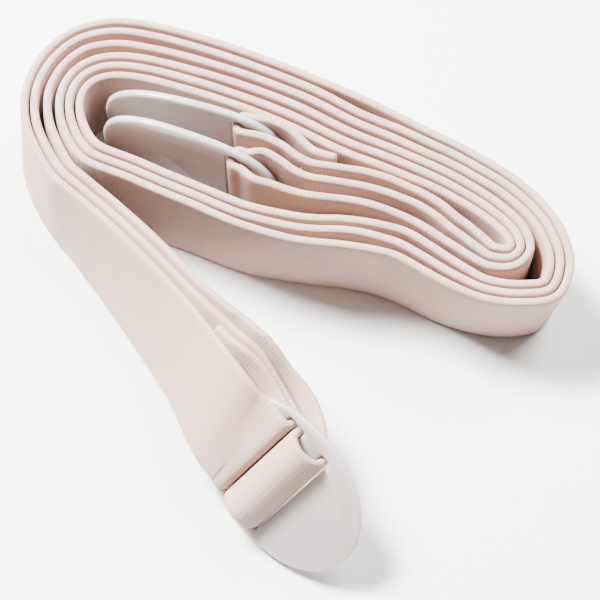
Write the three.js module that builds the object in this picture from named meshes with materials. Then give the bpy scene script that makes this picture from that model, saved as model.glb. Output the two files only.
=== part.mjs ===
// Elastic belt with a slider plate and two hook tabs, coiled up and standing on the edge of its strap.
// Millimetres, +Z up. The coil's long direction is X and the camera's side is -Y.
import * as THREE from 'three';

// Strap.
const STRAP_WIDTH = 25;
const STRAP_THICKNESS = 2;
const STRAND_GAP = 0.3; // air between two strands that lie together

// Coil, on the mid-line of its outermost strand.
const COIL_LENGTH = 136;
const COIL_WIDTH = 45;

// Tail: the three strands that lean out of the coil and carry the slider.
const TAIL_LENGTH = 74.4; // from the coil to the slider's middle, along the coil
const TAIL_SPREAD = 51; // and away from it
const SEWN_END_ROW = 1; // row of TAIL to which the strap's first end reaches

// Plates.
const PLATE_LENGTH = 45;
const PLATE_THICKNESS = 1.8;
const PLATE_RIM = 2.7; // plastic beyond each end of a slot
const SLIDER_SQUARENESS = 2.1; // exponent of its superellipse: 2 is an ellipse
const HOOK_SQUARENESS = 2.6; // the same, of the hook tabs
const PLATE_EDGE = 0.4; // rounding of its edges
const SLOT_SIDE_CLEARANCE = 0.8;
const SLOT_CLEARANCE = 0.4; // across the strap's thickness
const SLOT_CORNER = 0.8;
const SLIDER_END_BAR = 12.6;
const SLIDER_CENTRE_BAR = 6;
const HOOK_END_BAR = 10;

// How the slider lies: degrees.
const SLIDER_HEADING = -33;
const SLIDER_PITCH = -10;
const SLIDER_LEAN = 47;
const SLIDER_FLAT = 7; // strap that lies along the back of the end bar
const SLIDER_EASE = 0.6; // and has come off it by so much at the far end

// How far each hook tab's bar lies beyond the strap's last row, and where it points (degrees from -X).
const HOOK_FRONT_REACH = 4.9;
const HOOK_REAR_REACH = 6.1;
const HOOK_FRONT_HEADING = -3.5;
const HOOK_REAR_HEADING = 1.5;

const PITCH = STRAP_THICKNESS + STRAND_GAP;
const SLIDER_SIDE_SHIFT = (STRAND_GAP - SLOT_SIDE_CLEARANCE) / 2; // the strap has sunk in its slots
const HUG = STRAND_GAP + STRAP_THICKNESS / 2; // radius of the strap's mid-line round a bar's corner
const SLOT_LENGTH = STRAP_WIDTH + 2 * SLOT_SIDE_CLEARANCE;
const PLATE_WIDTH = SLOT_LENGTH + 2 * PLATE_RIM;
const SINGLE_SLOT = STRAP_THICKNESS + 2 * SLOT_CLEARANCE;
const DOUBLE_SLOT = 2 * STRAP_THICKNESS + STRAND_GAP + 2 * SLOT_CLEARANCE;

const MAX_TURN = THREE.MathUtils.degToRad(11); // between two sections of the strap
const MAX_STEP = 6;
const BAR_TURN = THREE.MathUtils.degToRad(30); // the same, round the bars
const OVAL_STEPS = 72; // sides of a plate's outline
const CORNER_STEPS = 4; // and of a slot's corner

const UP = new THREE.Vector3(0, 0, 1);

// The tail's outer strand from the slider to the coil.
// along: share of TAIL_LENGTH and away: share of TAIL_SPREAD, both from the coil's first row;
// lean: degrees, top inwards; lift: lower edge over the floor as a share of STRAP_WIDTH;
// settle: how far the strands behind have slid down, from level (0) to square behind it (1);
// gap1, gap2: extra air behind the first and the second strand, as shares of STRAP_THICKNESS.
const TAIL = [
  { along: 0.650, away: 0.655, lean: 33, lift: 0.240, settle: 0.6, gap1: 1.40, gap2: 0.15 },
  { along: 0.605, away: 0.600, lean: 32, lift: 0.200, settle: 0.5, gap1: 1.20, gap2: 0.10 },
  { along: 0.520, away: 0.495, lean: 30, lift: 0.140, settle: 0.2, gap1: 0.20, gap2: 0.10 },
  { along: 0.460, away: 0.430, lean: 28, lift: 0.100, settle: 0.1, gap1: 0.05, gap2: 0.05 },
  { along: 0.335, away: 0.300, lean: 23, lift: 0.055, settle: 0, gap1: 0.05, gap2: 0.05 },
  { along: 0.210, away: 0.180, lean: 18, lift: 0.020, settle: 0, gap1: 0.00, gap2: 0.05 },
  { along: 0.095, away: 0.080, lean: 13, lift: 0.000, settle: 0, gap1: 0.00, gap2: 0.05 },
];

// The same strand on the slider's end bar.
// along: share of PLATE_LENGTH from the plate's middle; side and off: off the middle of the slots
// and off the plate's face, in millimetres; lean: degrees.
const SLIDER_LEAVING = [
  { along: -0.30, side: SLIDER_SIDE_SHIFT, off: 0.1, lean: SLIDER_LEAN },
  { along: -0.40, side: -0.4, off: 0.7, lean: 45 },
  { along: -0.50, side: 0.6, off: 1.1, lean: 41 },
];

// The outermost strand of the coil, once round: left end, far side, right end, near side.
// along: share of COIL_LENGTH from the left end; across: share of COIL_WIDTH from the near side;
// lean: degrees, top inwards; gap1 ... gap5: extra air behind each of the five outer strands, as
// shares of STRAP_THICKNESS.
const COIL = [
  { along: 0.105, across: -0.06, lean: 9, gap1: 0.05, gap2: 0.10, gap3: 0.20, gap4: 0.00, gap5: 0.05 },
  { along: 0.055, across: 0.08, lean: 8, gap1: 0.05, gap2: 0.25, gap3: 0.10, gap4: 0.00, gap5: 0.05 },
  { along: 0.015, across: 0.255, lean: 6, gap1: 0.05, gap2: 0.40, gap3: 0.00, gap4: 0.00, gap5: 0.05 },
  { along: 0.000, across: 0.45, lean: 3, gap1: 0.05, gap2: 0.40, gap3: 0.00, gap4: 0.00, gap5: 0.05 },
  { along: 0.010, across: 0.66, lean: 1, gap1: 0.10, gap2: 0.45, gap3: 0.05, gap4: 0.00, gap5: 0.10 },
  { along: 0.045, across: 0.84, lean: 0, gap1: 0.15, gap2: 0.50, gap3: 0.20, gap4: 0.05, gap5: 0.15 },
  { along: 0.105, across: 0.96, lean: 0, gap1: 0.25, gap2: 0.60, gap3: 0.40, gap4: 0.15, gap5: 0.20 },
  { along: 0.175, across: 1.00, lean: 0, gap1: 0.25, gap2: 0.60, gap3: 0.40, gap4: 0.15, gap5: 0.20 },
  { along: 0.280, across: 1.005, lean: 0, gap1: 0.25, gap2: 0.45, gap3: 0.40, gap4: 0.20, gap5: 0.25 },
  { along: 0.385, across: 0.985, lean: 0, gap1: 0.25, gap2: 0.30, gap3: 0.35, gap4: 0.30, gap5: 0.20 },
  { along: 0.485, across: 0.95, lean: 0, gap1: 0.25, gap2: 0.25, gap3: 0.35, gap4: 0.30, gap5: 0.25 },
  { along: 0.590, across: 0.90, lean: 0, gap1: 0.70, gap2: 0.20, gap3: 0.30, gap4: 0.25, gap5: 0.20 },
  { along: 0.690, across: 0.835, lean: 0, gap1: 0.20, gap2: 0.25, gap3: 0.15, gap4: 0.10, gap5: 0.25 },
  { along: 0.795, across: 0.76, lean: -1, gap1: 0.10, gap2: 0.10, gap3: 0.10, gap4: 0.10, gap5: 0.10 },
  { along: 0.895, across: 0.65, lean: -2, gap1: 0.05, gap2: 0.05, gap3: 0.20, gap4: 0.05, gap5: 0.05 },
  { along: 0.965, across: 0.49, lean: -4, gap1: 0.00, gap2: 0.00, gap3: 0.00, gap4: 0.00, gap5: 0.00 },
  { along: 1.000, across: 0.295, lean: -6, gap1: 0.00, gap2: 0.00, gap3: 0.00, gap4: 0.00, gap5: 0.00 },
  { along: 0.993, across: 0.125, lean: -8, gap1: 0.00, gap2: 0.00, gap3: 0.00, gap4: 0.00, gap5: 0.00 },
  { along: 0.943, across: 0.035, lean: -6, gap1: 0.00, gap2: 0.00, gap3: 0.00, gap4: 0.00, gap5: 0.00 },
  { along: 0.880, across: 0.00, lean: -5, gap1: 0.05, gap2: 0.05, gap3: 0.35, gap4: 0.10, gap5: 0.10 },
  { along: 0.805, across: 0.02, lean: -2, gap1: 0.30, gap2: 0.35, gap3: 0.40, gap4: 0.45, gap5: 0.40 },
  { along: 0.720, across: 0.075, lean: 0, gap1: 0.45, gap2: 0.55, gap3: 0.50, gap4: 1.00, gap5: 0.45 },
  { along: 0.645, across: 0.065, lean: -1.5, gap1: 0.80, gap2: 0.25, gap3: 0.95, gap4: 0.95, gap5: 0.75 },
  { along: 0.550, across: 0.015, lean: -2, gap1: 0.45, gap2: 0.25, gap3: 1.15, gap4: 1.20, gap5: 0.70 },
  { along: 0.445, across: 0.00, lean: 1, gap1: 0.15, gap2: 0.10, gap3: 1.65, gap4: 2.55, gap5: 0.75 },
  { along: 0.360, across: 0.03, lean: 2, gap1: 0.05, gap2: 0.05, gap3: 0.00, gap4: 0.00, gap5: 0.00 },
  { along: 0.275, across: 0.055, lean: 3, gap1: 0.05, gap2: 0.05, gap3: 0.00, gap4: 0.00, gap5: 0.00 },
  { along: 0.205, across: 0.08, lean: 5, gap1: 0.05, gap2: 0.05, gap3: 0.00, gap4: 0.00, gap5: 0.00 },
];

// The inner turn follows the outer one as far as its right end, which it rounds in a tighter bend.
const LEFT_ROWS = 15; // rows of COIL that it follows before the bend
const RIGHT_FIRST = 19; // the first one after the bend, counted from 0
const RIGHT_LAST = 24; // and the last one, where the hook tabs begin
const INNER_BEND = [
  { along: 0.916, across: 0.414, lean: -2 },
  { along: 0.935, across: 0.315, lean: -1.2 },
  { along: 0.920, across: 0.210, lean: -1 },
];
const INNER_LEAN = 0.5; // share of the outer turn's lean that is left after the bend
const LIFT_FIRST = 21; // the inner strands rise from this row of COIL to the hook tabs

// The strap's last end, sewn back on itself behind the rear hook tab.
// back: rows back from RIGHT_LAST; gap: extra air to the strand, as a share of STRAP_THICKNESS.
const REAR_TAB = [
  { back: 0, gap: 1.2 },
  { back: 0.5, gap: 1.15 },
  { back: 1, gap: 0.5 },
  { back: 1.5, gap: 0.1 },
];

// One row of the guide: the outermost strand of a turn, in millimetres and radians.
function guideRow(x, y, leanDegrees, lift, gaps, settle = 0) {
  return { x, y, lean: THREE.MathUtils.degToRad(leanDegrees), lift, gaps, settle };
}

function tailRows() {
  const start = COIL[0];
  return TAIL.map((row) => guideRow(
    start.along * COIL_LENGTH + row.along * TAIL_LENGTH,
    start.across * COIL_WIDTH - row.away * TAIL_SPREAD,
    row.lean,
    row.lift * STRAP_WIDTH,
    [row.gap1 * STRAP_THICKNESS, row.gap2 * STRAP_THICKNESS],
    row.settle,
  ));
}

function outerRows() {
  return COIL.map((row) => guideRow(
    row.along * COIL_LENGTH,
    row.across * COIL_WIDTH,
    row.lean,
    0,
    [row.gap1 * STRAP_THICKNESS, row.gap2 * STRAP_THICKNESS],
  ));
}

function curveThrough(rows) {
  return new THREE.CatmullRomCurve3(rows.map((row) => new THREE.Vector3(row.x, row.y, 0)));
}

// Heading of a curve through count rows, at a row that may lie between two of them.
function headingAt(curve, count, row) {
  return curve.getTangent(row / (count - 1));
}

// The horizontal direction into the coil, which lies on the right of the strap's run.
function inwards(heading) {
  return new THREE.Vector3(heading.y, -heading.x, 0).normalize();
}

// The inner turn's rows: three strands and their air further in than the outer turn's.
function innerRows(outer) {
  const curve = curveThrough(outer);
  const follow = (index) => {
    const row = COIL[index];
    const air = (row.gap1 + row.gap2 + row.gap3) * STRAP_THICKNESS;
    const inward = inwards(headingAt(curve, outer.length, index));
    const shift = (3 * PITCH + air) / Math.cos(outer[index].lean);
    const rise = Math.max(0, (index - LIFT_FIRST) / (RIGHT_LAST - LIFT_FIRST));
    return guideRow(
      outer[index].x + inward.x * shift,
      outer[index].y + inward.y * shift,
      row.lean * (index < LEFT_ROWS ? 1 : INNER_LEAN),
      (PLATE_WIDTH - STRAP_WIDTH) / 2 * rise,
      [row.gap4 * STRAP_THICKNESS, row.gap5 * STRAP_THICKNESS],
    );
  };
  const bend = INNER_BEND.map((row) => guideRow(
    row.along * COIL_LENGTH,
    row.across * COIL_WIDTH,
    row.lean,
    0,
    [0, 0],
  ));
  const left = COIL.slice(0, LEFT_ROWS).map((row, index) => follow(index));
  const right = COIL.slice(RIGHT_FIRST, RIGHT_LAST + 1).map((row, index) => follow(RIGHT_FIRST + index));
  return [...left, ...bend, ...right];
}

// A plate's frame: along its length, across it, and out of its face.
function plateFrame(origin, along, across) {
  return { origin, along, across, out: new THREE.Vector3().crossVectors(along, across) };
}

function inFrame(frame, along, across, out) {
  return frame.origin.clone()
    .addScaledVector(frame.along, along)
    .addScaledVector(frame.across, across)
    .addScaledVector(frame.out, out);
}

// A path in a plate's along/out plane round corners like a belt round pulleys.
// Each corner has a place, a radius and a turn: 1 left, -1 right; a radius of 0 is a point.
function wrap(corners) {
  const normals = corners.slice(1).map((next, index) => {
    const corner = corners[index];
    const apart = new THREE.Vector2(next.along - corner.along, next.out - corner.out);
    const distance = apart.length();
    const share = (next.turn * next.radius - corner.turn * corner.radius) / distance;
    const direct = apart.normalize();
    const square = Math.sqrt(1 - share * share);
    return new THREE.Vector2(
      -direct.y * square + direct.x * share,
      direct.x * square + direct.y * share,
    );
  });
  return corners.flatMap((corner, index) => {
    const entering = normals[Math.max(index - 1, 0)];
    const leaving = normals[Math.min(index, normals.length - 1)];
    const start = Math.atan2(-corner.turn * entering.y, -corner.turn * entering.x);
    const end = Math.atan2(-corner.turn * leaving.y, -corner.turn * leaving.x);
    const full = 2 * Math.PI;
    const sweep = ((corner.turn * (end - start) + full + 1e-9) % full) - 1e-9;
    const steps = corner.radius > 0 ? Math.max(1, Math.ceil(sweep / BAR_TURN)) : 0;
    return Array.from({ length: steps + 1 }, (unused, step) => {
      const angle = start + corner.turn * sweep * (steps > 0 ? step / steps : 0);
      return {
        along: corner.along + corner.radius * Math.cos(angle),
        out: corner.out + corner.radius * Math.sin(angle),
      };
    });
  });
}

function strapRound(frame, corners, across) {
  return wrap(corners).map((point) => ({
    middle: inFrame(frame, point.along, across, point.out),
    width: frame.across.clone(),
  }));
}

// The strap doubles back round a bar whose edge lies at the given place along the plate.
// Each end of the path is some way back from the edge and may be off the plate's face.
function roundBar(frame, edge, across, behind, front) {
  const face = PLATE_THICKNESS / 2;
  return strapRound(frame, [
    { along: edge - behind.back, out: -face - HUG - behind.off, radius: 0, turn: 1 },
    { along: edge, out: -face, radius: HUG, turn: 1 },
    { along: edge, out: face, radius: HUG, turn: 1 },
    { along: edge - front.back, out: face + HUG + front.off, radius: 0, turn: 1 },
  ], across);
}

// Slider: places along the plate, from its middle.
const SLIDER_BAR_EDGE = SLIDER_END_BAR - PLATE_LENGTH / 2;
const CENTRE_BAR_START = SLIDER_BAR_EDGE + DOUBLE_SLOT;
const CENTRE_BAR_END = CENTRE_BAR_START + SLIDER_CENTRE_BAR;

// Up behind the end bar, over the centre bar and back behind both.
function overCentreBar(frame) {
  const face = PLATE_THICKNESS / 2;
  const away = SLIDER_BAR_EDGE - SLIDER_FLAT;
  const level = face + HUG + SLIDER_EASE;
  return strapRound(frame, [
    { along: away, out: -level - PITCH, radius: 0, turn: 1 },
    { along: SLIDER_BAR_EDGE, out: -face, radius: HUG + PITCH, turn: 1 },
    { along: CENTRE_BAR_START, out: face, radius: HUG, turn: -1 },
    { along: CENTRE_BAR_END, out: face, radius: HUG, turn: -1 },
    { along: CENTRE_BAR_END, out: -face, radius: HUG, turn: -1 },
    { along: SLIDER_BAR_EDGE, out: -face, radius: HUG + 2 * PITCH, turn: -1 },
    { along: away, out: -level - 2 * PITCH, radius: 0, turn: -1 },
  ], SLIDER_SIDE_SHIFT);
}

// Lowest corner of a list of strap stations.
function lowest(stations) {
  const corners = sections(stations).flat();
  return Math.min(...corners.map((corner) => corner.z));
}

// The slider rests on the floor by the lowest strand behind it.
function sliderFrame() {
  const heading = THREE.MathUtils.degToRad(SLIDER_HEADING);
  const pitch = THREE.MathUtils.degToRad(SLIDER_PITCH);
  const lean = THREE.MathUtils.degToRad(SLIDER_LEAN);
  const along = new THREE.Vector3(
    Math.cos(heading) * Math.cos(pitch),
    Math.sin(heading) * Math.cos(pitch),
    Math.sin(pitch),
  );
  const inward = new THREE.Vector3(-Math.sin(heading), Math.cos(heading), 0);
  const upright = new THREE.Vector3().crossVectors(along, inward);
  const across = inward.clone().multiplyScalar(Math.sin(lean)).addScaledVector(upright, Math.cos(lean));
  const origin = new THREE.Vector3(
    COIL[0].along * COIL_LENGTH + TAIL_LENGTH,
    COIL[0].across * COIL_WIDTH - TAIL_SPREAD,
    0,
  );
  const frame = plateFrame(origin, along, across);
  frame.origin.z = -lowest(overCentreBar(frame));
  return frame;
}

// The outer strand leaves the slider's slot flat on the end bar and has begun to rise where the
// plate ends.
function sliderRows() {
  const face = PLATE_THICKNESS / 2 + HUG;
  return SLIDER_LEAVING.map((row) => {
    const place = inFrame(slider, row.along * PLATE_LENGTH, row.side, face + row.off);
    const lean = THREE.MathUtils.degToRad(row.lean);
    const lower = STRAP_WIDTH / 2 * Math.cos(lean) + STRAP_THICKNESS / 2 * Math.sin(lean);
    return guideRow(place.x, place.y, row.lean, place.z - lower, [0, 0]);
  });
}

// A hook tab stands on its rim; its bar's edge lies beyond the strap's last row.
const HOOK_BAR_EDGE = HOOK_END_BAR - PLATE_LENGTH / 2;

function hookFrame(barMiddle, headingDegrees, reach) {
  const heading = Math.PI + THREE.MathUtils.degToRad(headingDegrees);
  const along = new THREE.Vector3(Math.cos(heading), Math.sin(heading), 0);
  const origin = barMiddle.clone().addScaledVector(along, reach - HOOK_BAR_EDGE);
  origin.z = PLATE_WIDTH / 2;
  return plateFrame(origin, along, UP.clone());
}

const slider = sliderFrame();
const outer = outerRows();
const guideRows = [...sliderRows(), ...tailRows(), ...outer, ...innerRows(outer)];
const guide = curveThrough(guideRows);
const LAST_ROW = guideRows.length - 1;

// The row's values between two rows, eased so that they start and end each interval level.
function between(row) {
  const index = Math.min(Math.floor(row), LAST_ROW - 1);
  const ease = THREE.MathUtils.smoothstep(row - index, 0, 1);
  const from = guideRows[index];
  const to = guideRows[index + 1];
  return {
    lean: THREE.MathUtils.lerp(from.lean, to.lean, ease),
    lift: THREE.MathUtils.lerp(from.lift, to.lift, ease),
    settle: THREE.MathUtils.lerp(from.settle, to.settle, ease),
    gaps: from.gaps.map((gap, k) => THREE.MathUtils.lerp(gap, to.gaps[k], ease)),
  };
}

// One station of the strap: its middle, and the direction of its width.
// depthOf gives the distance behind the turn's outermost strand, square to its face.
function station(row, depthOf) {
  const place = guide.getPoint(row / LAST_ROW);
  const inward = inwards(headingAt(guide, guideRows.length, row));
  const { lean, lift, settle, gaps } = between(row);
  const depth = depthOf(gaps);
  const width = inward.clone().multiplyScalar(Math.sin(lean)).addScaledVector(UP, Math.cos(lean));
  const middle = place.addScaledVector(inward, depth / Math.cos(lean));
  middle.z = lift + STRAP_WIDTH / 2 * Math.cos(lean) + STRAP_THICKNESS / 2 * Math.abs(Math.sin(lean));
  middle.addScaledVector(width, -settle * depth * Math.tan(lean));
  return { middle, width };
}

const DEPTH = [
  () => 0,
  (gaps) => PITCH + gaps[0],
  (gaps) => 2 * PITCH + gaps[0] + gaps[1],
];

// Rows at which every strand has a section, close together where the guide bends.
function sectionRows() {
  const rows = [0];
  for (let index = 0; index < LAST_ROW; index += 1) {
    const [here, next] = [index, index + 1].map((row) => headingAt(guide, guideRows.length, row));
    const turn = here.angleTo(next);
    const from = guide.getPoint(index / LAST_ROW);
    const length = from.distanceTo(guide.getPoint((index + 1) / LAST_ROW));
    const steps = Math.max(Math.ceil(turn / MAX_TURN), Math.ceil(length / MAX_STEP));
    for (let step = 1; step <= steps; step += 1) {
      rows.push(index + step / steps);
    }
  }
  return rows;
}

const SECTION_ROWS = sectionRows();

// The outer strand starts on the slider; the ones behind it part from it past the plate's end.
function strand(lane) {
  const first = lane === 0 ? 0 : SLIDER_LEAVING.length;
  return SECTION_ROWS.filter((row) => row >= first).map((row) => station(row, DEPTH[lane]));
}

function last(list) {
  return list[list.length - 1];
}

const lanes = [0, 1, 2].map(strand);

function frontHookFrame() {
  const middle = last(lanes[0]).middle.clone().lerp(last(lanes[1]).middle, 0.5);
  return hookFrame(middle, HOOK_FRONT_HEADING, HOOK_FRONT_REACH);
}

function rearHookFrame() {
  const end = last(lanes[2]);
  const inward = inwards(headingAt(guide, guideRows.length, LAST_ROW));
  const middle = end.middle.clone().addScaledVector(inward, PLATE_THICKNESS / 2 + HUG);
  return hookFrame(middle, HOOK_REAR_HEADING, HOOK_REAR_REACH);
}

const hookFront = frontHookFrame();
const hookRear = rearHookFrame();

// The strap's first end fills the air behind the outer strand of the tail.
function firstEnd() {
  const first = SLIDER_LEAVING.length;
  return SECTION_ROWS.filter((row) => row >= first && row <= first + SEWN_END_ROW)
    .map((row) => station(row, (gaps) => gaps[0]))
    .reverse();
}

function lastEnd() {
  const curve = new THREE.CatmullRomCurve3(REAR_TAB.map((row) => new THREE.Vector3(row.back, row.gap, 0)));
  const steps = 2 * (REAR_TAB.length - 1);
  return Array.from({ length: steps + 1 }, (unused, step) => {
    const { x: back, y: gap } = curve.getPoint(step / steps);
    return station(LAST_ROW - back, (gaps) => DEPTH[2](gaps) + PITCH + gap * STRAP_THICKNESS);
  });
}

// Joins runs of stations with smooth bridges from the end of one to the start of the next.
function joined(runs) {
  const stations = [...runs[0]];
  runs.slice(1).forEach((run) => {
    const before = stations[stations.length - 2].middle;
    const from = last(stations);
    const to = run[0];
    const reach = from.middle.distanceTo(to.middle);
    const leave = from.middle.clone().sub(before).setLength(reach / 3).add(from.middle);
    const arrive = to.middle.clone().sub(run[1].middle).setLength(reach / 3).add(to.middle);
    const bridge = new THREE.CubicBezierCurve3(from.middle, leave, arrive, to.middle);
    const steps = Math.max(2, Math.ceil(reach / (MAX_STEP / 2)));
    for (let step = 1; step < steps; step += 1) {
      stations.push({
        middle: bridge.getPoint(step / steps),
        width: from.width.clone().lerp(to.width, step / steps).normalize(),
      });
    }
    stations.push(...run);
  });
  return stations;
}

// Four corners of the strap's section at each station. Its face follows the run; where the run
// slants to the width, the elastic shears.
function sections(stations) {
  return stations.map((here, index) => {
    const before = stations[Math.max(index - 1, 0)].middle;
    const after = stations[Math.min(index + 1, stations.length - 1)].middle;
    const run = after.clone().sub(before).normalize();
    const { width } = here;
    const face = new THREE.Vector3().crossVectors(run, width).normalize();
    return [[-1, -1], [1, -1], [1, 1], [-1, 1]].map(([side, front]) => here.middle.clone()
      .addScaledVector(width, side * STRAP_WIDTH / 2)
      .addScaledVector(face, front * STRAP_THICKNESS / 2));
  });
}

function strapGeometry(stations) {
  const rings = sections(stations);
  const corners = 4;
  const index = [];
  for (let ring = 0; ring < rings.length - 1; ring += 1) {
    for (let corner = 0; corner < corners; corner += 1) {
      const next = (corner + 1) % corners;
      const a = ring * corners + corner;
      const b = ring * corners + next;
      index.push(a, b, b + corners, a, b + corners, a + corners);
    }
  }
  const end = (rings.length - 1) * corners;
  index.push(0, 2, 1, 0, 3, 2);
  index.push(end, end + 1, end + 2, end, end + 2, end + 3);
  const geometry = new THREE.BufferGeometry();
  geometry.setAttribute('position', new THREE.Float32BufferAttribute(
    rings.flat().flatMap((corner) => corner.toArray()),
    3,
  ));
  geometry.setIndex(index);
  geometry.computeVertexNormals();
  return geometry;
}

// A slot across the plate with rounded corners, from start to end along it.
function slotOutline(start, end) {
  const half = SLOT_LENGTH / 2;
  const corners = [
    { along: end - SLOT_CORNER, across: half - SLOT_CORNER },
    { along: start + SLOT_CORNER, across: half - SLOT_CORNER },
    { along: start + SLOT_CORNER, across: SLOT_CORNER - half },
    { along: end - SLOT_CORNER, across: SLOT_CORNER - half },
  ];
  return corners.flatMap(({ along, across }, quarter) => (
    Array.from({ length: CORNER_STEPS + 1 }, (unused, step) => {
      const angle = (quarter + step / CORNER_STEPS) * Math.PI / 2;
      return new THREE.Vector2(
        along + SLOT_CORNER * Math.cos(angle),
        across + SLOT_CORNER * Math.sin(angle),
      );
    })
  ));
}

// (|x| / halfLength)^squareness + (|y| / halfWidth)^squareness = 1
function ovalOutline(halfLength, halfWidth, squareness) {
  const bulge = (value) => Math.sign(value) * Math.abs(value) ** (2 / squareness);
  return Array.from({ length: OVAL_STEPS }, (unused, step) => {
    const angle = (step + 0.5) / OVAL_STEPS * 2 * Math.PI;
    return new THREE.Vector2(
      halfLength * bulge(Math.cos(angle)),
      halfWidth * bulge(Math.sin(angle)),
    );
  });
}

function plateGeometry(squareness, slots) {
  const halves = [PLATE_LENGTH / 2 - PLATE_EDGE, PLATE_WIDTH / 2 - PLATE_EDGE];
  const oval = new THREE.Shape(ovalOutline(...halves, squareness));
  oval.holes = slots.map(([start, end]) => (
    new THREE.Path(slotOutline(start - PLATE_EDGE, end + PLATE_EDGE))
  ));
  const geometry = new THREE.ExtrudeGeometry(oval, {
    depth: PLATE_THICKNESS - 2 * PLATE_EDGE,
    bevelThickness: PLATE_EDGE,
    bevelSize: PLATE_EDGE,
    bevelSegments: 2,
  });
  geometry.translate(0, 0, PLATE_EDGE - PLATE_THICKNESS / 2);
  return geometry;
}

function sliderGeometry() {
  return plateGeometry(SLIDER_SQUARENESS, [
    [SLIDER_BAR_EDGE, CENTRE_BAR_START],
    [CENTRE_BAR_END, CENTRE_BAR_END + SINGLE_SLOT],
  ]);
}

function hookGeometry() {
  return plateGeometry(HOOK_SQUARENESS, [[HOOK_BAR_EDGE, HOOK_BAR_EDGE + SINGLE_SLOT]]);
}

function elastic() {
  return new THREE.MeshStandardMaterial({ color: 0xd9cbc4, roughness: 0.95, metalness: 0 });
}

function plastic() {
  return new THREE.MeshStandardMaterial({ color: 0xd6d0cc, roughness: 0.4, metalness: 0 });
}

function strapMesh() {
  const stations = joined([
    firstEnd(),
    roundBar(
      slider,
      SLIDER_BAR_EDGE,
      SLIDER_SIDE_SHIFT,
      { back: SLIDER_FLAT, off: SLIDER_EASE },
      { back: HUG, off: 0 },
    ),
    lanes[0],
    roundBar(hookFront, HOOK_BAR_EDGE, 0, { back: HUG, off: 0 }, { back: HUG, off: 0 }),
    [...lanes[1]].reverse(),
    overCentreBar(slider),
    lanes[2],
    roundBar(hookRear, HOOK_BAR_EDGE, 0, { back: HUG, off: 0 }, { back: HUG, off: 0 }),
    lastEnd(),
  ]);
  const mesh = new THREE.Mesh(strapGeometry(stations), elastic());
  mesh.name = 'elastic_strap';
  return mesh;
}

function plateMesh(name, geometry, frame) {
  const mesh = new THREE.Mesh(geometry, plastic());
  mesh.name = name;
  const basis = new THREE.Matrix4().makeBasis(frame.along, frame.across, frame.out);
  mesh.quaternion.setFromRotationMatrix(basis);
  mesh.position.copy(frame.origin);
  return mesh;
}

// Moves the belt so that the middle of its footprint is the origin and it stands on Z = 0.
function centred(group) {
  const box = new THREE.Box3().setFromObject(group, true);
  const middle = box.getCenter(new THREE.Vector3());
  group.position.set(-middle.x, -middle.y, -box.min.z);
  return group;
}

const belt = new THREE.Group();
belt.name = 'ostomy_belt';
belt.add(strapMesh());
belt.add(plateMesh('slider_plate', sliderGeometry(), slider));
belt.add(plateMesh('hook_tab_front', hookGeometry(), hookFront));
belt.add(plateMesh('hook_tab_rear', hookGeometry(), hookRear));
centred(belt);

export default belt;
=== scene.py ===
"""Elastic ostomy belt, coiled up and standing on the edge of its strap.

Builds the knitted strap with its sewn ends, the moulded slider plate and hook tabs, and a plain
studio round them. Lengths are in metres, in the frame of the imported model.
"""

import math

import bmesh
import bpy
import numpy as np
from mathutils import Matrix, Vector


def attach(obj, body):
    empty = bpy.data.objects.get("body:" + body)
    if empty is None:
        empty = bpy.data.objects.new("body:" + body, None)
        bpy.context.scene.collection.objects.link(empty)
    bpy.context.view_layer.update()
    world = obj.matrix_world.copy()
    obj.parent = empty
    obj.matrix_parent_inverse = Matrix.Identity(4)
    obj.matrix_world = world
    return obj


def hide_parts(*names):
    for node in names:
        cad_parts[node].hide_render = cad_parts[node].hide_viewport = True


bl_info = {
    "name": "Coiled Elastic Belt",
    "version": (1, 0, 0),
    "blender": (4, 5, 0),
    "location": "View3D > Sidebar > Belt",
    "description": "Knitted elastic belt with slotted plastic plates, coiled on its edge",
    "category": "Add Mesh",
}

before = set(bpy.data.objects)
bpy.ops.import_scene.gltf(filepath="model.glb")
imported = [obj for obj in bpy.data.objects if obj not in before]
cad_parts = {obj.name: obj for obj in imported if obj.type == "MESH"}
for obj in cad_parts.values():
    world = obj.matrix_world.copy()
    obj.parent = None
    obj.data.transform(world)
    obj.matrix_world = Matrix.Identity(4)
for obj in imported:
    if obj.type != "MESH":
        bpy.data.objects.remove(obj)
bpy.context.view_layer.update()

PLATE_NORMAL = (-0.265, -0.641, 0.720)
BACKWARD = (0.54, 0.84, 0.0)
# Where the strap stands off: stretch of its running length, towards, skew of the bow's peak, and
# the named height that is times share. The loop over the slider's bar, the sewn end behind the
# slider's first slot, the strand next to it, and the one that leaves the second slot.
BOWS = (
    {"start": 1.2700, "end": 1.2842, "towards": PLATE_NORMAL, "skew": 1.0,
     "height": "arch_lift", "share": 1.0},
    {"start": 0.0020, "end": 0.0262, "towards": BACKWARD, "skew": 1.0,
     "height": "bow_depth", "share": 0.36},
    {"start": 1.2370, "end": 1.2655, "towards": BACKWARD, "skew": 1.0,
     "height": "bow_depth", "share": 0.36},
    {"start": 1.2845, "end": 1.3370, "towards": BACKWARD, "skew": 0.65,
     "height": "bow_depth", "share": 1.0},
)
# Stretches where turns are rounded off: the coil's left end, and where the strands fan out.
EASED_TURNS = (
    {"start": 0.032, "end": 0.082},
    {"start": 0.398, "end": 0.480},
    {"start": 0.835, "end": 0.915},
    {"start": 1.200, "end": 1.246},
    {"start": 1.318, "end": 1.372},
    {"start": 1.636, "end": 1.706},
)
EASE_IN = 0.014  # how far from a stretch's ends the rounding is in full
EVEN_STEP = 0.0001

MERGE = 2e-5  # CAD points nearer than this are one point
TURN_STEP = math.radians(7)  # most that the strap turns between two sections

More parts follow.
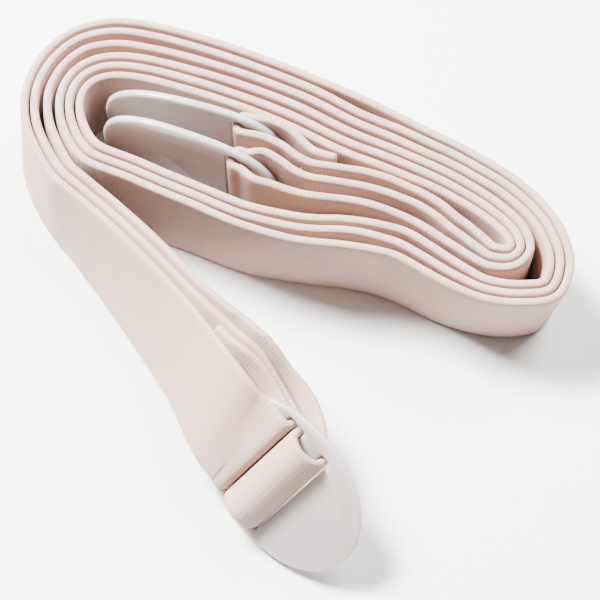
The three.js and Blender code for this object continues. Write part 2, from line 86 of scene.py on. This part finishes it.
# Shares of the knit's parts in the painted shade of its hollows, and in its relief.
WEAVE_SHADE, BEAD_SHADE, FUZZ_SHADE = 0.20, 0.20, 0.26
WEAVE_RELIEF, FUZZ_RELIEF = 0.35, 0.6

# A stitch: rings along the thread, sides round it, and how far it rises off the cloth and its
# ends sink in, in thicknesses of thread. A row stops short of the strap's edges by SEAM_INSET.
STITCH_RINGS, THREAD_SIDES = 9, 8
STITCH_RISE, STITCH_SINK = 1.3, 0.6
SEAM_INSET = 0.003
# The search for the strand that an end is sewn to.
SEARCH_POINTS = 8000
SAME_STRAND = 0.02
SLOPE_STEP = 0.0004

# Plates: edges sharper than this are softened, in so many steps.
SHARP = math.radians(40)
BEVEL_STEPS = 3

FLOOR_HALF = 3.0
FLOOR_COLOUR = (0.78, 0.78, 0.78, 1)
WORLD_COLOUR = (1.0, 0.86, 0.78, 1)
WORLD_STRENGTH = 0.17
LIGHTS = (
    {"name": "key", "place": (-0.66, 0.30, 0.98), "size": 0.40, "power": 150.0},
    {"name": "back", "place": (0.35, 0.75, 1.05), "size": 0.7, "power": 50.0},
)


def unit(vectors):
    """Each row divided by its own length."""
    return vectors / np.linalg.norm(vectors, axis=-1, keepdims=True)


def merged_arrays(obj):
    """Points and edges of a CAD node's mesh with its doubled points merged."""
    shape = bmesh.new()
    shape.from_mesh(obj.data)
    bmesh.ops.remove_doubles(shape, verts=shape.verts, dist=MERGE)
    mesh = bpy.data.meshes.new("merged")
    shape.to_mesh(mesh)
    shape.free()
    points = np.empty(len(mesh.vertices) * 3)
    mesh.vertices.foreach_get("co", points)
    edges = np.empty(len(mesh.edges) * 2, np.int32)
    mesh.edges.foreach_get("vertices", edges)
    bpy.data.meshes.remove(mesh)
    return points.reshape(-1, 3), edges.reshape(-1, 2)


def strap_sections(obj):
    """Middle, width direction and face direction of each section of the strap's solid.

    The solid is a tube of four-cornered sections. Its end sections are the points with the fewest
    edges; from one of them, each next section is what one more edge reaches. Each corner has an
    edge to itself and to a neighbour there, so the same corner is the point that it shares with
    the corner on one side of it, and of both sides the nearer four points are right.
    """
    points, edges = merged_arrays(obj)
    degree = np.bincount(edges.ravel(), minlength=len(points))
    ends = np.flatnonzero(degree < degree.max())
    # The two end sections lie apart, and the first one is on the slider's side (low Y).
    corners = square_order(points, ends[np.argsort(points[ends, 1])][:4])
    joined = np.zeros((len(points), len(points)), bool)
    joined[edges[:, 0], edges[:, 1]] = joined[edges[:, 1], edges[:, 0]] = True
    reached = np.zeros(len(points), bool)
    rings = [corners]
    for _ in range(len(points) // 4 - 1):
        reached[corners] = True
        near = np.flatnonzero(joined[corners].any(axis=0) & ~reached)
        links = joined[np.ix_(corners, near)]
        options = [near[np.argmax(links & np.roll(links, side, axis=0), axis=1)] for side in (1, -1)]
        here = points[corners]
        corners = min(options, key=lambda o: np.linalg.norm(points[o] - here, axis=1).sum())
        rings.append(corners)
    rings = points[np.array(rings)]
    middle = rings.mean(axis=1)
    width = unit(rings[:, 1] + rings[:, 2] - rings[:, 0] - rings[:, 3])
    face = unit(rings[:, 2] + rings[:, 3] - rings[:, 0] - rings[:, 1])
    # Width, face and path right-handed, so that the surface built on them faces outward.
    along = np.gradient(middle, axis=0)
    return middle, width, face * np.sign(np.sum(np.cross(width, face) * along))


def square_order(points, ends):
    """The end section's four corners in order: width is the long side, thickness the short one."""
    apart = np.linalg.norm(points[ends][:, None] - points[ends][None], axis=2)
    first = 0
    order = np.argsort(apart[first])
    across, along, far = order[1], order[2], order[3]
    return ends[[first, along, far, across]]


def spline(values, knots, where):
    """Catmull-Rom through rows of values at increasing knots: cubic Hermite with slopes from the
    two neighbours of each knot."""
    slope = np.gradient(values, knots, axis=0)
    k = np.clip(np.searchsorted(knots, where, side="right") - 1, 0, len(knots) - 2)
    span = (knots[k + 1] - knots[k])[:, None]
    t = ((where - knots[k])[:, None]) / span
    return (
        (2 * t**3 - 3 * t**2 + 1) * values[k]
        + (t**3 - 2 * t**2 + t) * span * slope[k]
        + (3 * t**2 - 2 * t**3) * values[k + 1]
        + (t**3 - t**2) * span * slope[k + 1]
    )


def grid_faces(rows, columns):
    """Quads of a grid whose columns close on themselves; outward for a right-handed section."""
    r, c = np.meshgrid(np.arange(rows - 1), np.arange(columns), indexing="ij")
    n = (c + 1) % columns
    return np.stack([r * columns + c, r * columns + n, (r + 1) * columns + n, (r + 1) * columns + c],
                    axis=-1).reshape(-1, 4)


def mesh_object(name, points, faces, uv=None, smooth=True):
    """A mesh object from whole arrays; uv holds one row for each corner of each face."""
    mesh = bpy.data.meshes.new(name)
    mesh.vertices.add(len(points))
    mesh.vertices.foreach_set("co", np.asarray(points, np.float32).ravel())
    sizes = np.array([len(face) for face in faces])
    corners = np.concatenate(list(faces))
    mesh.loops.add(len(corners))
    mesh.loops.foreach_set("vertex_index", corners.astype(np.int32))
    mesh.polygons.add(len(sizes))
    mesh.polygons.foreach_set("loop_start", (np.cumsum(sizes) - sizes).astype(np.int32))
    mesh.polygons.foreach_set("use_smooth", np.full(len(sizes), smooth))
    if uv is not None:
        layer = mesh.uv_layers.new(name="weave")
        layer.data.foreach_set("uv", np.asarray(uv, np.float32).ravel())
    mesh.update(calc_edges=True)
    mesh.validate()
    obj = bpy.data.objects.new(name, mesh)
    bpy.context.scene.collection.objects.link(obj)
    return obj


def new_material(name):
    material = bpy.data.materials.new(name)
    material.use_nodes = True
    nodes = material.node_tree.nodes
    return material, nodes, material.node_tree.links, nodes["Principled BSDF"]


def math_node(nodes, links, operation, first, second=None, clamp=False):
    node = nodes.new("ShaderNodeMath")
    node.operation = operation
    node.use_clamp = clamp
    for socket, value in zip(node.inputs, (first, second)):
        if value is None:
            continue
        if isinstance(value, bpy.types.NodeSocket):
            links.new(value, socket)
        else:
            socket.default_value = value
    return node.outputs[0]


def mix_colours(nodes, links, factor, first, second, blend="MIX"):
    node = nodes.new("ShaderNodeMix")
    node.data_type = "RGBA"
    node.blend_type = blend
    for name, value in (("Factor_Float", factor), ("A_Color", first), ("B_Color", second)):
        socket = next(s for s in node.inputs if s.identifier == name)
        if isinstance(value, bpy.types.NodeSocket):
            links.new(value, socket)
        else:
            socket.default_value = value
    return next(s for s in node.outputs if s.identifier == "Result_Color")


def knit_material(settings):
    """Knitted elastic: fine lengthwise ribs crossed by weft rows, a beaded row of loops along each
    edge, and soft blotches in its colour. The hollows of the ribs and rows, between the edge loops
    and in the fuzz are darkened as painted shade. U runs along the strap and V round its section."""
    material, nodes, links, shader = new_material("knitted_elastic")
    uv = nodes.new("ShaderNodeUVMap")
    uv.uv_map = "weave"
    split = nodes.new("ShaderNodeSeparateXYZ")
    links.new(uv.outputs["UV"], split.inputs[0])
    along, across = split.outputs["X"], split.outputs["Y"]

    weft = wave(nodes, links, along, settings.weft_pitch)
    ribs = wave(nodes, links, across, settings.rib_pitch)
    beads = wave(nodes, links, along, settings.bead_pitch)
    # 1 along the two edges of the section, 0 on its faces.
    edge = nodes.new("ShaderNodeAttribute")
    edge.attribute_name = "edge"
    at_edge = edge.outputs["Fac"]

    coords = nodes.new("ShaderNodeTexCoord")
    blotch = noise(nodes, links, coords.outputs["Object"], 90.0, 3.0)
    fuzz = noise(nodes, links, coords.outputs["Object"], 2600.0, 2.0)

    # Painted shade: the colour is darkened towards a dark brown in the valleys of the weft rows and
    # ribs, in the hollows between the edge loops, and where the fuzz dips; the same hollows are low in
    # the relief below.
    shade = math_node(nodes, links, "MULTIPLY", weft, ribs)
    shade = math_node(nodes, links, "MULTIPLY", shade, WEAVE_SHADE)
    dots = math_node(nodes, links, "MULTIPLY", beads, at_edge)
    dots = math_node(nodes, links, "MULTIPLY", dots, BEAD_SHADE)
    shade = math_node(nodes, links, "MAXIMUM", shade, dots)
    fine = math_node(nodes, links, "MULTIPLY", fuzz, FUZZ_SHADE)
    shade = math_node(nodes, links, "ADD", shade, fine, clamp=True)
    base = mix_colours(nodes, links, blotch, (*settings.light, 1), (*settings.dark, 1))
    # The blotched yarn colour with the painted shade of its hollows mixed in.
    colour = mix_colours(nodes, links, shade, base, (*settings.gap, 1))
    links.new(colour, shader.inputs["Base Color"])

    rows = math_node(nodes, links, "MULTIPLY", weft, WEAVE_RELIEF)
    lines = math_node(nodes, links, "MULTIPLY", ribs, WEAVE_RELIEF)
    fluff = math_node(nodes, links, "MULTIPLY", fuzz, FUZZ_RELIEF)
    height = math_node(nodes, links, "ADD", rows, lines)
    height = math_node(nodes, links, "ADD", height, dots)
    height = math_node(nodes, links, "ADD", height, fluff)
    height = math_node(nodes, links, "SUBTRACT", 1.0, height)
    bump = nodes.new("ShaderNodeBump")
    bump.inputs["Strength"].default_value = 0.26
    bump.inputs["Distance"].default_value = 0.00015
    links.new(height, bump.inputs["Height"])
    links.new(bump.outputs["Normal"], shader.inputs["Normal"])
    shader.inputs["Roughness"].default_value = 0.9
    shader.inputs["Specular IOR Level"].default_value = 0.2
    shader.inputs["Sheen Weight"].default_value = 0.08
    shader.inputs["Sheen Roughness"].default_value = 0.5
    return material


def wave(nodes, links, value, pitch):
    """0 on the crests and 1 in the valleys of a sine with the given pitch."""
    turns = math_node(nodes, links, "MULTIPLY", value, 2 * math.pi / pitch)
    sine = math_node(nodes, links, "SINE", turns)
    half = math_node(nodes, links, "MULTIPLY", sine, 0.5)
    return math_node(nodes, links, "ADD", half, 0.5)


def noise(nodes, links, vector, scale, detail):
    node = nodes.new("ShaderNodeTexNoise")
    node.inputs["Scale"].default_value = scale
    node.inputs["Detail"].default_value = detail
    links.new(vector, node.inputs["Vector"])
    return node.outputs["Fac"]


def plastic_material(settings):
    """Milky moulded polypropylene: cool white, a little cloudy, faintly orange-peeled."""
    material, nodes, links, shader = new_material("milky_plastic")
    coords = nodes.new("ShaderNodeTexCoord")
    cloud = noise(nodes, links, coords.outputs["Object"], 70.0, 2.0)
    peel = noise(nodes, links, coords.outputs["Object"], 900.0, 2.0)
    colour = mix_colours(nodes, links, cloud, (*settings.clear, 1), (*settings.cloudy, 1))
    links.new(colour, shader.inputs["Base Color"])
    rough = math_node(nodes, links, "MULTIPLY", peel, 0.14)
    rough = math_node(nodes, links, "ADD", rough, 0.30)
    links.new(rough, shader.inputs["Roughness"])
    bump = nodes.new("ShaderNodeBump")
    bump.inputs["Strength"].default_value = 0.15
    bump.inputs["Distance"].default_value = 0.0001
    links.new(peel, bump.inputs["Height"])
    links.new(bump.outputs["Normal"], shader.inputs["Normal"])
    shader.inputs["Subsurface Weight"].default_value = 0.6
    shader.inputs["Subsurface Radius"].default_value = (0.006, 0.005, 0.0045)
    shader.inputs["Subsurface Scale"].default_value = 1.0
    shader.inputs["Specular IOR Level"].default_value = 0.5
    return material


def thread_material():
    material, nodes, links, shader = new_material("sewing_thread")
    coords = nodes.new("ShaderNodeTexCoord")
    twist = noise(nodes, links, coords.outputs["Object"], 4000.0, 2.0)
    colour = mix_colours(nodes, links, twist, (0.80, 0.76, 0.73, 1), (0.60, 0.54, 0.50, 1))
    links.new(colour, shader.inputs["Base Color"])
    shader.inputs["Roughness"].default_value = 0.7
    return material


class StrapSettings(bpy.types.PropertyGroup):
    width: bpy.props.FloatProperty(
        name="Width", description="Width of the elastic", default=0.025, unit="LENGTH")
    thickness: bpy.props.FloatProperty(
        name="Thickness", description="Thickness of the elastic", default=0.002, unit="LENGTH")
    edge_radius: bpy.props.FloatProperty(
        name="Edge Radius", description="Rounding of its edges", default=0.0009, unit="LENGTH")
    step: bpy.props.FloatProperty(
        name="Step", description="Longest step between sections", default=0.0011, unit="LENGTH")
    weft_pitch: bpy.props.FloatProperty(
        name="Weft Pitch", description="Distance between weft rows", default=0.00095, unit="LENGTH")
    rib_pitch: bpy.props.FloatProperty(
        name="Rib Pitch", description="Distance between lengthwise ribs", default=0.0011, unit="LENGTH")
    bead_pitch: bpy.props.FloatProperty(
        name="Bead Pitch", description="Distance between edge loops", default=0.00095, unit="LENGTH")
    seam_rows: bpy.props.IntProperty(
        name="Seam Rows", description="Rows of stitches at each sewn end", default=2)
    seam_margin: bpy.props.FloatProperty(
        name="Seam Margin", description="From the end to the first row", default=0.003, unit="LENGTH")
    seam_gap: bpy.props.FloatProperty(
        name="Seam Gap", description="Between rows of stitches", default=0.0035, unit="LENGTH")
    stitch_pitch: bpy.props.FloatProperty(
        name="Stitch Pitch", description="From stitch to stitch", default=0.0026, unit="LENGTH")
    stitch_length: bpy.props.FloatProperty(
        name="Stitch Length", description="Length of a stitch", default=0.0019, unit="LENGTH")
    thread: bpy.props.FloatProperty(
        name="Thread", description="Thickness of the thread", default=0.00032, unit="LENGTH")
    ease: bpy.props.FloatProperty(
        name="Ease", description="How far the coil's inner turns are rounded off", default=0.0045,
        unit="LENGTH")
    arch_lift: bpy.props.FloatProperty(
        name="Arch Lift", description="Air under the loop over the slider's bar", default=0.0028,
        unit="LENGTH")
    bow_depth: bpy.props.FloatProperty(
        name="Bow Depth", description="How far the strand behind the slider bows out", default=0.0042,
        unit="LENGTH")
    light: bpy.props.FloatVectorProperty(
        name="Light", description="Lighter yarn", default=(0.50, 0.355, 0.30), subtype="COLOR", size=3)
    dark: bpy.props.FloatVectorProperty(
        name="Dark", description="Darker yarn", default=(0.40, 0.27, 0.215), subtype="COLOR", size=3)
    # Painted shade: the dark colour laid into the hollows of the knit.
    gap: bpy.props.FloatVectorProperty(
        name="Gaps", description="Between the loops", default=(0.20, 0.11, 0.07), subtype="COLOR",
        size=3)


class PlateSettings(bpy.types.PropertyGroup):
    edge_softness: bpy.props.FloatProperty(
        name="Edge Softness", description="Bevel of the plates' edges", default=0.00035, unit="LENGTH")
    clear: bpy.props.FloatVectorProperty(
        name="Clear", description="Clearer plastic", default=(0.355, 0.325, 0.318),
        subtype="COLOR", size=3)
    cloudy: bpy.props.FloatVectorProperty(
        name="Cloudy", description="Cloudier plastic", default=(0.30, 0.27, 0.263),
        subtype="COLOR", size=3)


class StageSettings(bpy.types.PropertyGroup):
    azimuth: bpy.props.FloatProperty(
        name="Azimuth", description="Camera's side", default=math.radians(17.5), subtype="ANGLE")
    elevation: bpy.props.FloatProperty(
        name="Elevation", description="Camera's height", default=math.radians(65.8), subtype="ANGLE")
    distance: bpy.props.FloatProperty(
        name="Distance", description="Camera to target", default=0.5, unit="LENGTH")
    target: bpy.props.FloatVectorProperty(
        name="Target", description="What the camera looks at", default=(0.009584, 0.004276, 0.008),
        subtype="TRANSLATION", size=3)
    lens: bpy.props.FloatProperty(
        name="Lens", description="Focal length in millimetres", default=126.0)


def bows(where, s):
    """Shift of the strap's middle where it stands off in a bow: height * share * sin^2(pi * t^skew),
    t running from 0 to 1 over the bow's stretch."""
    shift = np.zeros((len(where), 3))
    for bow in BOWS:
        t = np.clip((where - bow["start"]) / (bow["end"] - bow["start"]), 0, 1) ** bow["skew"]
        rise = np.sin(math.pi * t) ** 2 * getattr(s, bow["height"]) * bow["share"]
        shift += rise[:, None] * np.array(bow["towards"])
    return shift


def eased(values, knots, where, s):
    """Catmull-Rom of the values, and in each eased turn moved towards their mean round the point,
    weighted exp(-d^2 / 2 ease^2) at the distance d. The share rises smoothly from both ends."""
    even = np.arange(0, knots[-1], EVEN_STEP)
    path = spline(values, knots, even)
    near = np.arange(-3 * s.ease, 3 * s.ease, EVEN_STEP)
    weight = np.exp(-(near**2) / (2 * s.ease**2))
    mean = np.stack([np.convolve(column, weight / weight.sum(), "same") for column in path.T], axis=1)
    result = spline(values, knots, where)
    for turn in EASED_TURNS:
        share = (np.clip((where - turn["start"]) / EASE_IN, 0, 1)
                 * np.clip((turn["end"] - where) / EASE_IN, 0, 1))
        share = share**2 * (3 - 2 * share)
        to_mean = np.stack([np.interp(where, even, column) for column in (mean - path).T], axis=1)
        result += share[:, None] * to_mean
    return result


def strap_frame(middle, width, face, knots, where, s):
    """Middle, width direction and face direction of the dressed strap at each running length."""
    m = eased(middle, knots, where, s) + bows(where, s)
    w = unit(eased(width, knots, where, s))
    f = eased(face, knots, where, s)
    # Square to the path once more where it was shifted.
    path = unit(np.gradient(m, where, axis=0))
    shifted = np.linalg.norm(m - spline(middle, knots, where), axis=1) > 1e-6
    f[shifted] -= path[shifted] * np.sum(f[shifted] * path[shifted], axis=1, keepdims=True)
    return m, w, unit(f - w * np.sum(f * w, axis=1, keepdims=True))


class BELT_OT_strap(bpy.types.Operator):
    """The knitted strap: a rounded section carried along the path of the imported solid,
    p(u, v) = middle(u) + width(u) * a(v) + face(u) * b(v), (a, b) going round the section"""

    bl_idname = "belt.strap"
    bl_label = "Strap"

    def execute(self, context):
        s = context.scene.belt_strap
        middle, width, face = strap_sections(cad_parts["elastic_strap"])
        leg = np.linalg.norm(np.diff(middle, axis=0), axis=1)
        knots = np.concatenate([[0], np.cumsum(leg)])
        turn = np.arccos(np.clip(np.sum(face[1:] * face[:-1], axis=1), -1, 1))
        steps = np.ceil(np.maximum(leg / s.step, turn / TURN_STEP)).astype(int)
        where = np.concatenate([
            np.repeat(knots[:-1], steps)
            + np.repeat(leg / steps, steps) * (np.arange(steps.sum())
                                              - np.repeat(np.cumsum(steps) - steps, steps)),
            knots[-1:],
        ])
        m, w, f = strap_frame(middle, width, face, knots, where, s)
        profile, v, at_edge = rounded_section(s.width, s.thickness, s.edge_radius)
        points = (m[:, None] + w[:, None] * profile[None, :, :1] + f[:, None] * profile[None, :, 1:])
        rows, columns = len(where), len(profile)
        faces = grid_faces(rows, columns)
        u_row = np.stack([where[:-1], where[:-1], where[1:], where[1:]], axis=-1)
        v_next = np.concatenate([v, [v[0] + 2 * (s.width + s.thickness)]])[1:]
        uv = np.empty((rows - 1, columns, 4, 2))
        uv[..., 0] = u_row[:, None]
        uv[..., 1] = np.stack([v, v_next, v_next, v], axis=-1)[None]
        ends = [np.arange(columns)[::-1], (rows - 1) * columns + np.arange(columns)]
        cap_uv = np.stack([np.zeros(columns), v], axis=-1)
        obj = mesh_object(
            "elastic_strap_knit", points.reshape(-1, 3), [*faces, *ends],
            np.concatenate([uv.reshape(-1, 2), cap_uv[::-1], cap_uv]),
        )
        layer = obj.data.attributes.new("edge", "FLOAT", "POINT")
        layer.data.foreach_set("value", np.tile(at_edge, rows).astype(np.float32))
        obj.data.materials.append(knit_material(s))
        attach(obj, "root")
        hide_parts("elastic_strap")
        return {"FINISHED"}


def rounded_section(width, thickness, radius, arc_steps=5, flats=9):
    """A rectangle with quarter-round corners, counter-clockwise in (width, face) axes. Also its
    running length, and 1 on the narrow edges fading to 0 on the faces."""
    a, b = width / 2 - radius, thickness / 2 - radius
    quarter = np.linspace(0, math.pi / 2, arc_steps)
    flat = np.linspace(-a, a, flats + 1)[1:-1]
    corners = [
        np.stack([sx * a + radius * np.cos(quarter + k * math.pi / 2),
                  sy * b + radius * np.sin(quarter + k * math.pi / 2)], axis=1)
        for k, (sx, sy) in enumerate(((1, 1), (-1, 1), (-1, -1), (1, -1)))
    ]
    front = np.stack([flat[::-1], np.full(flats - 1, b + radius)], axis=1)
    back = np.stack([flat, np.full(flats - 1, -b - radius)], axis=1)
    ring = np.concatenate([corners[0], front, corners[1], corners[2], back, corners[3]])
    length = np.concatenate([[0], np.cumsum(np.linalg.norm(np.diff(ring, axis=0), axis=1))])
    at_edge = np.clip((np.abs(ring[:, 0]) - (width / 2 - 1.1 * radius)) / (0.9 * radius), 0, 1)
    return ring, length, at_edge


def seam_rows(s):
    """Both sewn ends: centre, stitch direction and outward side of each row.

    Rows lie across the strap at s.seam_rows from its end, on the free face of the end itself and
    on the free face of the strand that it is sewn to, which is the nearest one."""
    middle, width, face = strap_sections(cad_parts["elastic_strap"])
    knots = np.concatenate([[0], np.cumsum(np.linalg.norm(np.diff(middle, axis=0), axis=1))])
    from_end = s.seam_margin + s.seam_gap * np.arange(s.seam_rows)
    where = np.concatenate([from_end, knots[-1] - from_end])
    m = spline(middle, knots, where)
    dense = np.linspace(0, knots[-1], SEARCH_POINTS)
    other = spline(middle, knots, dense)
    apart = np.linalg.norm(m[:, None] - other[None], axis=2)
    apart[np.abs(where[:, None] - dense[None]) < SAME_STRAND] = np.inf
    partner = dense[np.argmin(apart, axis=1)]
    # The frame's slopes need running lengths in order.
    where = np.concatenate([where, partner])
    order = np.argsort(where)
    back = np.argsort(order)
    near = np.concatenate([where + d for d in (-SLOPE_STEP, 0.0, SLOPE_STEP)])
    near = np.unique(near.clip(0, knots[-1]))
    at = np.searchsorted(near, where[order])[back]
    m, w, f = (part[at] for part in strap_frame(middle, width, face, knots, near, s))
    half = len(where) // 2
    towards = np.concatenate([m[half:] - m[:half], m[:half] - m[half:]])
    return m, w, -f * np.sign(np.sum(towards * f, axis=1, keepdims=True))


class BELT_OT_stitches(bpy.types.Operator):
    """Rows of stitches through both sewn ends: each a thread from a to b that rises off the cloth,
    p(t) = a + (b - a) t + out * (rise * sin(pi t) - sink), with a round section"""

    bl_idname = "belt.stitches"
    bl_label = "Stitches"

    def execute(self, context):
        s = context.scene.belt_strap
        m, w, out = seam_rows(s)
        count = int((s.width - SEAM_INSET) / s.stitch_pitch)
        start = (np.arange(count) - count / 2) * s.stitch_pitch
        t = np.linspace(0, 1, STITCH_RINGS)
        across = start[:, None] + t * s.stitch_length
        rise = s.thickness / 2 + s.thread * (STITCH_RISE * np.sin(math.pi * t) - STITCH_SINK)
        path = (m[:, None, None] + w[:, None, None] * across[None, ..., None]
                + out[:, None, None] * rise[None, None, :, None])
        turn = np.linspace(0, 2 * math.pi, THREAD_SIDES, endpoint=False)
        along = np.cross(out, w)
        ring = (along[:, None] * np.cos(turn)[None, :, None]
                + out[:, None] * np.sin(turn)[None, :, None]) * s.thread / 2
        points = path[..., None, :] + ring[:, None, None]
        faces = grid_faces(len(t), len(turn))
        # The same tube faces for each stitch, each with its own points.
        size = len(t) * len(turn)
        caps = [np.arange(THREAD_SIDES)[::-1], size - THREAD_SIDES + np.arange(THREAD_SIDES)]
        number = len(m) * count
        shift = (np.arange(number) * size)[:, None]
        quads = (faces[None] + shift[..., None]).reshape(-1, 4)
        ends = np.concatenate([caps[0] + shift, caps[1] + shift])
        obj = mesh_object("sewing_threads", points.reshape(-1, 3), [*quads, *ends])
        obj.data.materials.append(thread_material())
        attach(obj, "root")
        return {"FINISHED"}


class BELT_OT_plates(bpy.types.Operator):
    """The slider plate and the two hook tabs in milky plastic, their edges softened by a bevel"""

    bl_idname = "belt.plates"
    bl_label = "Plates"

    def execute(self, context):
        s = context.scene.belt_plates
        material = plastic_material(s)
        for name in ("slider_plate", "hook_tab_front", "hook_tab_rear"):
            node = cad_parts[name]
            shape = bmesh.new()
            shape.from_mesh(node.data)
            bmesh.ops.transform(shape, matrix=node.matrix_world, verts=shape.verts)
            bmesh.ops.remove_doubles(shape, verts=shape.verts, dist=MERGE)
            for face in shape.faces:
                face.smooth = True
            mesh = bpy.data.meshes.new(name + "_moulded")
            shape.to_mesh(mesh)
            shape.free()
            mesh.materials.append(material)
            obj = bpy.data.objects.new(name + "_moulded", mesh)
            context.scene.collection.objects.link(obj)
            bevel = obj.modifiers.new("soft_edges", "BEVEL")
            bevel.width = s.edge_softness
            bevel.segments = BEVEL_STEPS
            bevel.limit_method = "ANGLE"
            bevel.angle_limit = SHARP
            bevel.harden_normals = True
            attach(obj, "root")
            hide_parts(name)
        return {"FINISHED"}


class BELT_OT_stage(bpy.types.Operator):
    """A pale floor, soft lights and the camera"""

    bl_idname = "belt.stage"
    bl_label = "Stage"

    def execute(self, context):
        s = context.scene.belt_stage
        corners = FLOOR_HALF * np.array([[-1, -1, 0], [1, -1, 0], [1, 1, 0], [-1, 1, 0]])
        floor = mesh_object("floor", corners, np.array([[0, 1, 2, 3]]), smooth=False)
        material, nodes, links, shader = new_material("pale_floor")
        shader.inputs["Base Color"].default_value = FLOOR_COLOUR
        shader.inputs["Roughness"].default_value = 0.8
        floor.data.materials.append(material)

        world = bpy.data.worlds.new("studio")
        world.use_nodes = True
        sky = world.node_tree.nodes["Background"]
        sky.inputs["Color"].default_value = WORLD_COLOUR
        sky.inputs["Strength"].default_value = WORLD_STRENGTH
        context.scene.world = world

        for row in LIGHTS:
            light = bpy.data.lights.new(row["name"], "AREA")
            light.energy = row["power"]
            light.size = row["size"]
            lamp = bpy.data.objects.new(row["name"], light)
            lamp.location = row["place"]
            lamp.rotation_euler = (-Vector(row["place"])).to_track_quat("-Z", "Y").to_euler()
            context.scene.collection.objects.link(lamp)

        camera = bpy.data.cameras.new("camera")
        camera.lens = s.lens
        camera.sensor_width = 36.0
        camera.clip_start, camera.clip_end = 0.01, 10
        eye = bpy.data.objects.new("camera", camera)
        back = Vector((math.sin(s.azimuth) * math.cos(s.elevation),
                       -math.cos(s.azimuth) * math.cos(s.elevation), math.sin(s.elevation)))
        eye.location = Vector(s.target) + back * s.distance
        eye.rotation_euler = (-back).to_track_quat("-Z", "Y").to_euler()
        context.scene.collection.objects.link(eye)
        context.scene.camera = eye
        return {"FINISHED"}


class BELT_PT_panel(bpy.types.Panel):
    bl_idname = "BELT_PT_panel"
    bl_label = "Coiled Belt"
    bl_space_type = "VIEW_3D"
    bl_region_type = "UI"
    bl_category = "Belt"

    def draw(self, context):
        scene = context.scene
        for operator, group in (
            (BELT_OT_strap, scene.belt_strap),
            (BELT_OT_stitches, scene.belt_strap),
            (BELT_OT_plates, scene.belt_plates),
            (BELT_OT_stage, scene.belt_stage),
        ):
            box = self.layout.box()
            box.operator(operator.bl_idname)
            for name in group.__annotations__:
                box.prop(group, name)


CLASSES = (StrapSettings, PlateSettings, StageSettings, BELT_OT_strap, BELT_OT_stitches,
           BELT_OT_plates, BELT_OT_stage, BELT_PT_panel)


def register():
    for cls in CLASSES:
        bpy.utils.register_class(cls)
    bpy.types.Scene.belt_strap = bpy.props.PointerProperty(type=StrapSettings)
    bpy.types.Scene.belt_plates = bpy.props.PointerProperty(type=PlateSettings)
    bpy.types.Scene.belt_stage = bpy.props.PointerProperty(type=StageSettings)


def unregister():
    del bpy.types.Scene.belt_stage
    del bpy.types.Scene.belt_plates
    del bpy.types.Scene.belt_strap
    for cls in reversed(CLASSES):
        bpy.utils.unregister_class(cls)


def main():
    register()
    bpy.ops.belt.stage()
    bpy.ops.belt.strap()
    bpy.ops.belt.stitches()
    bpy.ops.belt.plates()


if __name__ == "__main__":
    main()
